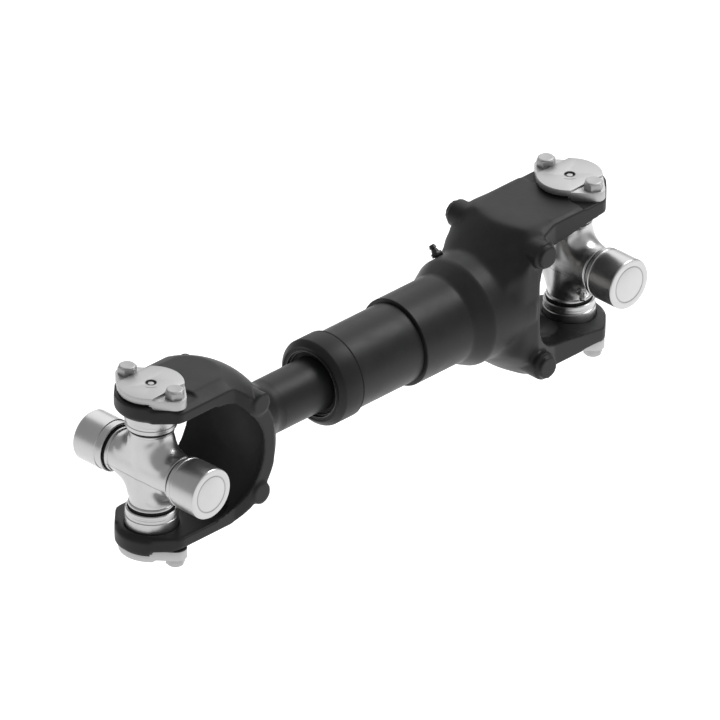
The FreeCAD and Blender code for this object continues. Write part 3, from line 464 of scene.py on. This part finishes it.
def chain(bm, points, closed=False):
    """Vertices joined one to the next."""
    corners = [bm.verts.new(point) for point in points]
    edges = [bm.edges.new(pair) for pair in zip(corners, corners[1:])]
    if closed:
        edges.append(bm.edges.new((corners[-1], corners[0])))
    return corners + edges


def around(station, radius, *offsets):
    """Profile points by their offsets, (along, out) in millimetres, from a station and a radius."""
    return [(station + along * MM, radius + out * MM) for along, out in offsets]


def turn_profile(bm, profile, centre, axis, steps, closed=False):
    """Spins (distance along the axis, radius) points about the axis."""
    axis = Vector(axis)
    side = Vector((0, 0, 1)) if abs(axis.z) < 0.5 else Vector((1, 0, 0))
    before = set(bm.verts)
    geometry = chain(bm, [centre + axis * along + side * radius for along, radius in profile], closed)
    bmesh.ops.spin(bm, geom=geometry, cent=centre, axis=axis, angle=math.tau, steps=steps, use_merge=True)
    fresh = [vertex for vertex in bm.verts if vertex not in before]
    bmesh.ops.remove_doubles(bm, verts=fresh, dist=MERGE)


def round_edges(bm, offset):
    """Rounds every edge where the surface turns by more than 30 degrees."""
    limit = math.radians(30)
    sharp = [edge for edge in bm.edges if edge.is_manifold and edge.calc_face_angle(0.0) > limit]
    bmesh.ops.bevel(bm, geom=sharp, offset=offset, offset_type="OFFSET", segments=2, profile=0.5,
                    affect="EDGES", material=-1, clamp_overlap=True)


def join_flats(bm, degrees=1):
    """Faces that lie in one plane become one face."""
    bmesh.ops.dissolve_limit(bm, angle_limit=math.radians(degrees), verts=bm.verts, edges=bm.edges)


def copy_of(node):
    """A CAD solid's shape as one merged surface."""
    bm = bmesh.new()
    bm.from_mesh(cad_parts[node].data)
    bmesh.ops.remove_doubles(bm, verts=bm.verts, dist=MERGE)
    return bm


def keep_side(bm, point, outward):
    """Cuts everything beyond a plane away and closes the cut."""
    everything = bm.verts[:] + bm.edges[:] + bm.faces[:]
    result = bmesh.ops.bisect_plane(bm, geom=everything, plane_co=point, plane_no=outward, clear_outer=True)
    rim = [part for part in result["geom_cut"] if isinstance(part, bmesh.types.BMEdge)]
    bmesh.ops.triangle_fill(bm, use_beauty=True, use_dissolve=False, edges=rim)


def melt(bm, passes, inside):
    """Relaxes the part of a surface that lies inside a region."""
    verts = [vertex for vertex in bm.verts if inside(vertex.co)]
    for _ in range(passes):
        bmesh.ops.smooth_vert(bm, verts=verts, factor=0.5, use_axis_x=True, use_axis_y=True, use_axis_z=True)


def run_together(bm, name, grain, passes):
    """The surface run together as on a forging: remade at one grain, then relaxed."""
    mesh = bpy.data.meshes.new(name)
    bmesh.ops.recalc_face_normals(bm, faces=bm.faces)
    bm.to_mesh(mesh)
    bm.free()
    rough = bpy.data.objects.new(name, mesh)
    bpy.context.scene.collection.objects.link(rough)
    remesh = rough.modifiers.new("Grain", "REMESH")
    remesh.mode = "VOXEL"
    remesh.voxel_size = grain
    remesh.use_smooth_shade = True
    smooth = rough.modifiers.new("Blend", "SMOOTH")
    smooth.factor = 0.5
    smooth.iterations = passes
    bpy.context.view_layer.update()
    evaluated = rough.evaluated_get(bpy.context.evaluated_depsgraph_get())
    finished = bpy.data.meshes.new_from_object(evaluated)
    bpy.data.objects.remove(rough)
    bpy.data.meshes.remove(mesh)
    result = bmesh.new()
    result.from_mesh(finished)
    bpy.data.meshes.remove(finished)
    return result


def piece(name, bm, material, body, nodes=(), angle=35.0):
    """Makes the object, gives it its finish and its place in the frame."""
    bmesh.ops.recalc_face_normals(bm, faces=bm.faces)
    mesh = bpy.data.meshes.new(name)
    bm.to_mesh(mesh)
    bm.free()
    for polygon in mesh.polygons:
        polygon.use_smooth = True
    mesh.set_sharp_from_angle(angle=math.radians(angle))
    mesh.materials.append(MATERIALS[material])
    made = bpy.data.objects.new(name, mesh)
    bpy.context.scene.collection.objects.link(made)
    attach(made, body)
    if nodes:
        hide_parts(*nodes)


def repaint(node, material):
    """A CAD node keeps its shape and takes a better finish."""
    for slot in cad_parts[node].material_slots:
        slot.material = MATERIALS[material]


class Builder:
    """What all the operators share."""

    bl_options = {"REGISTER", "UNDO"}

    def execute(self, context):
        make_materials(context.scene.shaft_finishes)
        self.build(context.scene)
        return {"FINISHED"}


# ---- the pieces -----------------------------------------------------------------------------

class SHAFT_OT_front_yoke(Builder, bpy.types.Operator):
    """Front yoke, neck, plain shaft and male spline"""

    bl_idname = "shaft.front_yoke"
    bl_label = "Front yoke and shaft"

    def build(self, scene):
        forging, sizes = scene.shaft_forgings, scene.shaft_sizes
        centre, radius = CENTRE["front"], sizes.plain_radius
        neck_start, neck_end, head_end = 108 * MM, 146 * MM, 150 * MM
        bar_start, bar_end, bar_tip, spline_start = 148 * MM, 282 * MM, 289 * MM, 284.5 * MM
        head = copy_of("yoke_shaft")
        keep_side(head, centre + ALONG * head_end, ALONG)
        head = run_together(head, "front_yoke_rough", forging.yoke_grain, forging.yoke_passes)
        melt(head, forging.hub_passes, lambda point: neck_start < (point - centre).x < neck_end)
        piece("front_yoke_head", head, "forging", "yoke_shaft", ("yoke_shaft",), 60)
        bar = bmesh.new()
        turn_profile(bar, [
            (bar_start, 0), (bar_start, radius), *around(bar_end, radius, (0, 0), (4, -0.9)), (bar_tip, 0),
        ], centre, ALONG, SHAFT_STEPS)
        piece("plain_shaft", bar, "turned_black", "yoke_shaft")
        spline = copy_of("yoke_shaft")
        keep_side(spline, centre + ALONG * spline_start, -ALONG)
        join_flats(spline, 2)
        piece("male_spline", spline, "turned_black", "yoke_shaft", (), 30)


def behind_the_arms(point):
    """Whether a point is on the rear yoke's round back, clear of its nubs."""
    back, side, height = rear_place(point)
    nub_back, nub_height, nub_reach, nub_side = 89.6 * MM, 58.3 * MM, 17 * MM, 40 * MM
    on_nub = math.hypot(back - nub_back, height - nub_height) < nub_reach and side > nub_side
    return 106 * MM < back < 147 * MM and math.hypot(side, height) > 36 * MM and not on_nub


def over_the_shoulder(point):
    """Whether a point is on the rear yoke's slope from its arms to its hub, above or below."""
    back, side, height = rear_place(point)
    return 62 * MM < back < 125 * MM and side < 41 * MM and height > 50 * MM


def rear_place(point):
    """How far a point is in front of the rear joint, to either side of it, and above or below it."""
    offset = point - CENTRE["rear"]
    return -offset.x, abs(offset.y), abs(offset.z)


class SHAFT_OT_rear_yoke(Builder, bpy.types.Operator):
    """Rear yoke and hub, and the stepped sleeve turned on it"""

    bl_idname = "shaft.rear_yoke"
    bl_label = "Rear yoke and sleeve"

    def build(self, scene):
        forging, sizes = scene.shaft_forgings, scene.shaft_sizes
        rear, bore = CENTRE["rear"], sizes.spline_bore
        head_start, bore_depth, near_axis = 389.6 * MM, 111 * MM, MM
        head = copy_of("sleeve_yoke")
        keep_side(head, CENTRE["front"] + ALONG * head_start, -ALONG)
        head = run_together(head, "rear_yoke_rough", forging.yoke_grain, forging.yoke_passes)
        melt(head, forging.hub_passes, behind_the_arms)
        melt(head, forging.hub_passes, over_the_shoulder)
        for vertex in head.verts:
            across = Vector((0, vertex.co.y - rear.y, vertex.co.z - rear.z))
            if near_axis < across.length < bore and rear.x - vertex.co.x > bore_depth:
                vertex.co += across.normalized() * (bore - across.length)
        piece("rear_yoke_head", head, "forging", "sleeve", ("sleeve_yoke",), 60)
        tube = bmesh.new()
        end, thread, step, foot = 212 * MM, 231 * MM, 313 * MM, 374 * MM
        turn_profile(tube, [
            (end, bore),
            *around(end, sizes.thread_radius, (0, -1), (1, 0)),
            (thread, sizes.thread_radius),
            # Shoulder that the dust cap stops at.
            *around(thread, sizes.small_radius, (0.1, -0.9), (0.9, -0.7), (1.3, 0)),
            # Groove at the step between the two sleeve radii.
            *around(step, sizes.small_radius, (-0.8, 0), (-0.4, -0.8), (0.1, -0.8)),
            *around(step, sizes.large_radius, (0.3, -0.7), (1, 0)),
            # Flare from the sleeve to the hub.
            *around(foot, sizes.large_radius, (-3, 0), (-0.5, 0.35), (2, 1.5), (8, 4.9)),
            *around(foot, sizes.hub_radius, (14.2, -1.75), (16.6, -0.5), (18.5, -0.15)),
            (foot + 18.5 * MM, bore),
        ], CENTRE["front"], ALONG, SLEEVE_STEPS, closed=True)
        piece("stepped_sleeve", tube, "turned_black", "sleeve", (), 28)


class SHAFT_OT_dust_cap(Builder, bpy.types.Operator):
    """Dust cap with its mouth rings, washer and seal"""

    bl_idname = "shaft.dust_cap"
    bl_label = "Dust cap"

    def build(self, scene):
        sizes = scene.shaft_sizes
        low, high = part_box("dust_cap")
        start = low[0] - CENTRE["front"].x
        stop = high[0] - CENTRE["front"].x
        outer, mouth, bevel = sizes.cap_radius, sizes.cap_mouth, sizes.cap_bevel
        inside = sizes.thread_radius + 0.35 * MM
        cap = bmesh.new()
        turn_profile(cap, [
            (stop, inside),
            *around(stop, outer, (0, -0.5), (-0.5, 0)),
            # Bevel to the front face.
            *around(start + bevel, outer, (0.6, 0), (-0.4, -0.35)),
            *around(start, outer - bevel, (0.5, 0.35), (0, -0.5)),
            # Groove in the front face, then the mouth.
            *around(start, mouth, (0.1, 3.0), (0.6, 2.6), (0.6, 1.9), (0.1, 1.5)),
            *around(start, mouth, (0.1, 0.5), (0.5, 0), (3, 0)),
            (start + 3 * MM, inside),
        ], CENTRE["front"], ALONG, SLEEVE_STEPS, closed=True)
        piece("dust_cap_turned", cap, "cap", "sleeve", ("dust_cap",), 28)
        joint = bmesh.new()
        width, edge, sunk = 1.5 * MM, 0.3 * MM, 0.05 * MM
        turn_profile(joint, [
            (stop, inside), (stop, outer - edge), (stop + edge, outer - sunk),
            (stop + width - edge, outer - sunk), (stop + width, outer - edge), (stop + width, inside),
        ], CENTRE["front"], ALONG, SLEEVE_STEPS, closed=True)
        piece("cap_joint_ring", joint, "rubber", "sleeve")
        # Thin grey metal rings at the mouth: a painted highlight along the mouth's edges.
        rings = bmesh.new()
        wire, corners = 0.3 * MM, 8
        for along, radius in ((start + 0.5 * MM, mouth - 0.1 * MM), (start + 2.9 * MM, mouth - 1.7 * MM)):
            turns = [math.tau * corner / corners for corner in range(corners)]
            turn_profile(rings, [(along + wire * math.cos(turn), radius + wire * math.sin(turn))
                                 for turn in turns], CENTRE["front"], ALONG, SLEEVE_STEPS, closed=True)
        piece("cap_mouth_rings", rings, "painted_highlight", "sleeve")
        repaint("dust_cap_washer", "plastic")
        repaint("dust_seal", "rubber")


def crotch_slab(bm, centre, arm, hollow, half):
    """A slab across the joint whose four crotches are hollow rounds."""
    reach, steps, quarter = arm + hollow, 12, math.pi / 2
    corners = []
    for quadrant in range(4):
        middle = Matrix.Rotation(quadrant * quarter, 2) @ Vector((reach, reach))
        for step in range(steps + 1):
            turn = quadrant * quarter - quarter - quarter * step / steps
            corners.append(middle + hollow * Vector((math.cos(turn), math.sin(turn))))
    rim = [bm.verts.new(centre + Vector((-half, corner.x, corner.y))) for corner in corners]
    face = bm.faces.new(rim)
    raised = bmesh.ops.extrude_face_region(bm, geom=[face])
    top = [part for part in raised["geom"] if isinstance(part, bmesh.types.BMVert)]
    bmesh.ops.translate(bm, verts=top, vec=Vector((2 * half, 0, 0)))


class SHAFT_OT_crosses(Builder, bpy.types.Operator):
    """Both crosses: a blended forging with turned shoulders and ground trunnions"""

    bl_idname = "shaft.crosses"
    bl_label = "Crosses"

    def build(self, scene):
        forging = scene.shaft_forgings
        arm, arm_end, shoulder, slabs = forging.cross_arm, 48 * MM, 37.8 * MM, 15
        trunnion = [(along * MM, radius * MM) for along, radius in TRUNNION]
        for end in ENDS:
            centre = CENTRE[end]
            body = bmesh.new()
            for direction in ARMS.values():
                turn_profile(body, [(0, 0), (0, arm), (arm_end, arm), (arm_end, 0)], centre, direction,
                             CROSS_STEPS)
            for slab in range(1, slabs + 1):
                turn = math.radians(90 / slabs * slab)
                crotch_slab(body, centre, arm - forging.web_round * (1 - math.cos(turn)),
                            forging.web_hollow, forging.web_half * math.sin(turn))
            body = run_together(body, f"{end}_cross_rough", forging.cross_grain, forging.cross_passes)
            for direction in ARMS.values():
                keep_side(body, centre + direction * shoulder, direction)
            for direction in ARMS.values():
                turn_profile(body, trunnion, centre, direction, CROSS_STEPS)
            piece(f"{end}_cross_forging", body, "cross", f"{end}_cross", (f"{end}_cross",), 40)


class SHAFT_OT_cups(Builder, bpy.types.Operator):
    """The eight bearing cups with their rolled lips and turned end rings, and what runs in them"""

    bl_idname = "shaft.cups"
    bl_label = "Bearing cups"

    def build(self, scene):
        cup = scene.shaft_cups
        for end in ENDS:
            for arm, direction in ARMS.items():
                name = f"{end}_{arm}_cup"
                shell = bmesh.new()
                ring, width, ring_depth = cup.scribe_radius, cup.scribe_width, 0.22 * MM
                seat = cup.mouth + cup.seal_depth
                turn_profile(shell, [
                    # Closed end with its turned ring, then the rounded rim.
                    (cup.end, 0), (cup.end, ring - width), (cup.end - ring_depth, ring),
                    (cup.end, ring + width),
                    *around(cup.end, cup.radius, (0, -1.5), (-0.35, -0.55), (-1.3, 0)),
                    # Ground outside, then the groove behind it.
                    *around(cup.ground_end, cup.radius, (0.4, 0), (0, -0.4)),
                    *around(cup.ground_end, cup.neck_radius, (-0.2, 0), (-2.7, 0)),
                    # Rolled lip.
                    *around(cup.mouth, cup.lip_radius, (4.9, -0.5), (4.3, 0), (2.6, 0), (2.2, -0.15),
                            (1.8, -0.1), (0.7, -0.3), (0, -1.1)),
                    # Seat of the seal, then the bore.
                    (cup.mouth, cup.seal_radius), (seat, cup.seal_radius),
                    (seat, cup.bore_radius), (cup.floor, cup.bore_radius), (cup.floor, 0),
                ], CENTRE[end], direction, CUP_STEPS)
                material = "cup_held" if arm in HELD else "cup_free"
                piece(f"{name}_turned", shell, material, arm_body(end, arm), (name,), 30)
                repaint(f"{end}_{arm}_cup_seal", "rubber")
                repaint(f"{end}_{arm}_thrust_washer", "plastic")
                repaint(f"{end}_{arm}_needle_rollers", "roller")


class SHAFT_OT_plates(Builder, bpy.types.Operator):
    """The four bearing plates, edges broken, with painted shade for a scribed arc by the dimple"""

    bl_idname = "shaft.plates"
    bl_label = "Bearing plates"

    def build(self, scene):
        for end in ENDS:
            for arm in HELD:
                node = f"{end}_{arm}_plate"
                plate = copy_of(node)
                join_flats(plate)
                round_edges(plate, scene.shaft_sizes.edge)
                piece(f"{node}_finished", plate, "plate", YOKE[end], (node,), 30)


class SHAFT_OT_bolts(Builder, bpy.types.Operator):
    """The plate bolts: hexagon heads under a round chamfered crown"""

    bl_idname = "shaft.bolts"
    bl_label = "Plate bolts"

    def build(self, scene):
        flats, height = 15.9 * MM, 8.4 * MM
        reach, shank, overlap = -19 * MM, 4.7 * MM, MM
        for end in ENDS:
            for arm in HELD:
                node = f"{end}_{arm}_plate_bolts"
                low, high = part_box(node)
                up = ARMS[arm]
                top = high[2] if arm == "top" else low[2]
                bm = bmesh.new()
                for side in (-1, 1):
                    half = (high[1] - low[1]) / 2 - flats / math.sqrt(3)
                    foot = Vector((CENTRE[end].x, CENTRE[end].y + side * half, top)) - up * height
                    bolt_head(bm, foot, up, flats, height)
                    turn_profile(bm, [(reach, 0), *around(reach, shank, (0, -0.6), (0.7, 0)),
                                      (overlap, shank), (overlap, 0)], foot, up, SHANK_STEPS)
                piece(f"{node}_finished", bm, "bolt", YOKE[end], (node,), 30)


def bolt_head(bm, foot, up, flats, height):
    """A hexagon, its edges broken, with a round crown on it."""
    crown, sunk, edge = 1.5 * MM, 0.5 * MM, 0.35 * MM
    skirt, brow, rim, floor = flats * 0.485, flats * 0.435, flats * 0.40, flats * 0.30
    hexagon = bmesh.new()
    matrix = Matrix.Translation(foot + up * (height - crown) / 2)
    bmesh.ops.create_cone(hexagon, cap_ends=True, segments=6, radius1=flats / math.sqrt(3),
                          radius2=flats / math.sqrt(3), depth=height - crown, matrix=matrix)
    round_edges(hexagon, edge)
    turn_profile(hexagon, [
        (height - crown - sunk, 0), (height - crown - sunk, skirt),
        *around(height, skirt, (-0.75, 0)), *around(height, brow, (-0.1, 0)), (height, rim),
        *around(height, floor, (-0.35, 0)), *around(height, 0, (-0.35, 0)),
    ], foot, up, CROWN_STEPS)
    scratch = bpy.data.meshes.new("hexagon")
    hexagon.to_mesh(scratch)
    hexagon.free()
    bm.from_mesh(scratch)
    bpy.data.meshes.remove(scratch)


class SHAFT_OT_fittings(Builder, bpy.types.Operator):
    """Grease fittings of the crosses and the hub, and the bore plug"""

    bl_idname = "shaft.fittings"
    bl_label = "Grease fittings and plug"

    def build(self, scene):
        hub_growth = 1.12
        fittings = [(f"{end}_cross_grease_fitting", "fitting", f"{end}_cross", "fitting_steel")
                    for end in ENDS]
        fittings.append(("sleeve_grease_fitting", "fitting_black", "sleeve", "fitting_black"))
        for node, material, body, slot in fittings:
            bm = copy_of(node)
            if body == "sleeve":
                low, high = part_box(node)
                seat = Vector(((low[0] + high[0]) / 2, low[1], low[2]))
                bmesh.ops.scale(bm, vec=Vector((hub_growth, hub_growth, hub_growth)),
                                space=Matrix.Translation(-seat), verts=bm.verts)
            join_flats(bm)
            round_edges(bm, scene.shaft_sizes.edge)
            piece(f"{node}_finished", bm, material, body, (node,), 30)
        repaint("bore_plug", "plug")


# ---- stage ----------------------------------------------------------------------------------

def view_axes(azimuth, elevation):
    """The camera's back, right and up directions."""
    back = Vector((math.cos(elevation) * math.sin(azimuth), -math.cos(elevation) * math.cos(azimuth),
                   math.sin(elevation)))
    right = Vector((math.cos(azimuth), math.sin(azimuth), 0))
    return back, right, back.cross(right)


def soft_light(name, place_at, size, power):
    """A square light that looks at the shaft."""
    light = bpy.data.lights.new(name, "AREA")
    light.shape = "SQUARE"
    light.size = size
    light.energy = power
    made = bpy.data.objects.new(name, light)
    made.location = place_at
    made.rotation_euler = (-Vector(place_at)).to_track_quat("-Z", "Y").to_euler()
    bpy.context.scene.collection.objects.link(made)


class SHAFT_OT_stage(bpy.types.Operator):
    """Pale floor, soft light and the camera"""

    bl_idname = "shaft.stage"
    bl_label = "Stage"
    bl_options = {"REGISTER", "UNDO"}

    def execute(self, context):
        studio = context.scene.shaft_studio
        sky_strength, sensor, nearest, farthest, floor_reach = 0.5, 36.0, 0.5, 300.0, 30.0
        floor = bmesh.new()
        bmesh.ops.create_grid(floor, x_segments=4, y_segments=4, size=floor_reach,
                              matrix=Matrix.Translation((0, 0, -studio.floor_drop)))
        mesh = bpy.data.meshes.new("studio_floor")
        floor.to_mesh(mesh)
        floor.free()
        mesh.materials.append(floor_material("StudioFloor"))
        ground = bpy.data.objects.new("studio_floor", mesh)
        context.scene.collection.objects.link(ground)
        world = bpy.data.worlds.new("StudioSky")
        world.use_nodes = True
        backdrop = next(node for node in world.node_tree.nodes if node.type == "BACKGROUND")
        backdrop.inputs["Color"].default_value = tuple(studio.sky) + (1.0,)
        backdrop.inputs["Strength"].default_value = sky_strength
        context.scene.world = world
        for light in LIGHTS:
            soft_light(*light)
        camera = bpy.data.cameras.new("view_camera")
        camera.type = "PERSP"
        camera.lens = studio.lens
        camera.sensor_width = sensor
        camera.clip_start = nearest
        camera.clip_end = farthest
        made = bpy.data.objects.new("view_camera", camera)
        back, right, up = view_axes(studio.azimuth, studio.elevation)
        aim = right * studio.right + up * studio.up
        made.location = aim + back * (studio.width * studio.lens / sensor)
        made.rotation_euler = Matrix((right, up, back)).transposed().to_euler()
        context.scene.collection.objects.link(made)
        context.scene.camera = made
        context.scene.view_settings.view_transform = "Standard"
        return {"FINISHED"}


class SHAFT_PT_panel(bpy.types.Panel):
    """The shaft's pieces in the sidebar"""

    bl_label = "Joint Shaft"
    bl_idname = "SHAFT_PT_panel"
    bl_space_type = "VIEW_3D"
    bl_region_type = "UI"
    bl_category = "Joint Shaft"

    def draw(self, context):
        for operator in OPERATORS:
            self.layout.operator(operator.bl_idname)
        for group in GROUPS:
            settings = getattr(context.scene, group)
            for name in settings.bl_rna.properties.keys():
                if name not in ("rna_type", "name"):
                    self.layout.prop(settings, name)


OPERATORS = (SHAFT_OT_front_yoke, SHAFT_OT_rear_yoke, SHAFT_OT_dust_cap, SHAFT_OT_crosses, SHAFT_OT_cups,
             SHAFT_OT_plates, SHAFT_OT_bolts, SHAFT_OT_fittings, SHAFT_OT_stage)
GROUPS = {
    "shaft_forgings": ForgingSizes,
    "shaft_cups": CupSizes,
    "shaft_sizes": ShaftSizes,
    "shaft_finishes": Finishes,
    "shaft_studio": Studio,
}


def register():
    for group, kind in GROUPS.items():
        bpy.utils.register_class(kind)
        setattr(bpy.types.Scene, group, bpy.props.PointerProperty(type=kind))
    for operator in OPERATORS:
        bpy.utils.register_class(operator)
    bpy.utils.register_class(SHAFT_PT_panel)


def unregister():
    bpy.utils.unregister_class(SHAFT_PT_panel)
    for operator in reversed(OPERATORS):
        bpy.utils.unregister_class(operator)
    for group, kind in reversed(GROUPS.items()):
        delattr(bpy.types.Scene, group)
        bpy.utils.unregister_class(kind)


def main():
    register()
    bpy.ops.shaft.front_yoke()
    bpy.ops.shaft.rear_yoke()
    bpy.ops.shaft.dust_cap()
    bpy.ops.shaft.crosses()
    bpy.ops.shaft.cups()
    bpy.ops.shaft.plates()
    bpy.ops.shaft.bolts()
    bpy.ops.shaft.fittings()
    bpy.ops.shaft.stage()


if __name__ == "__main__":
    main()
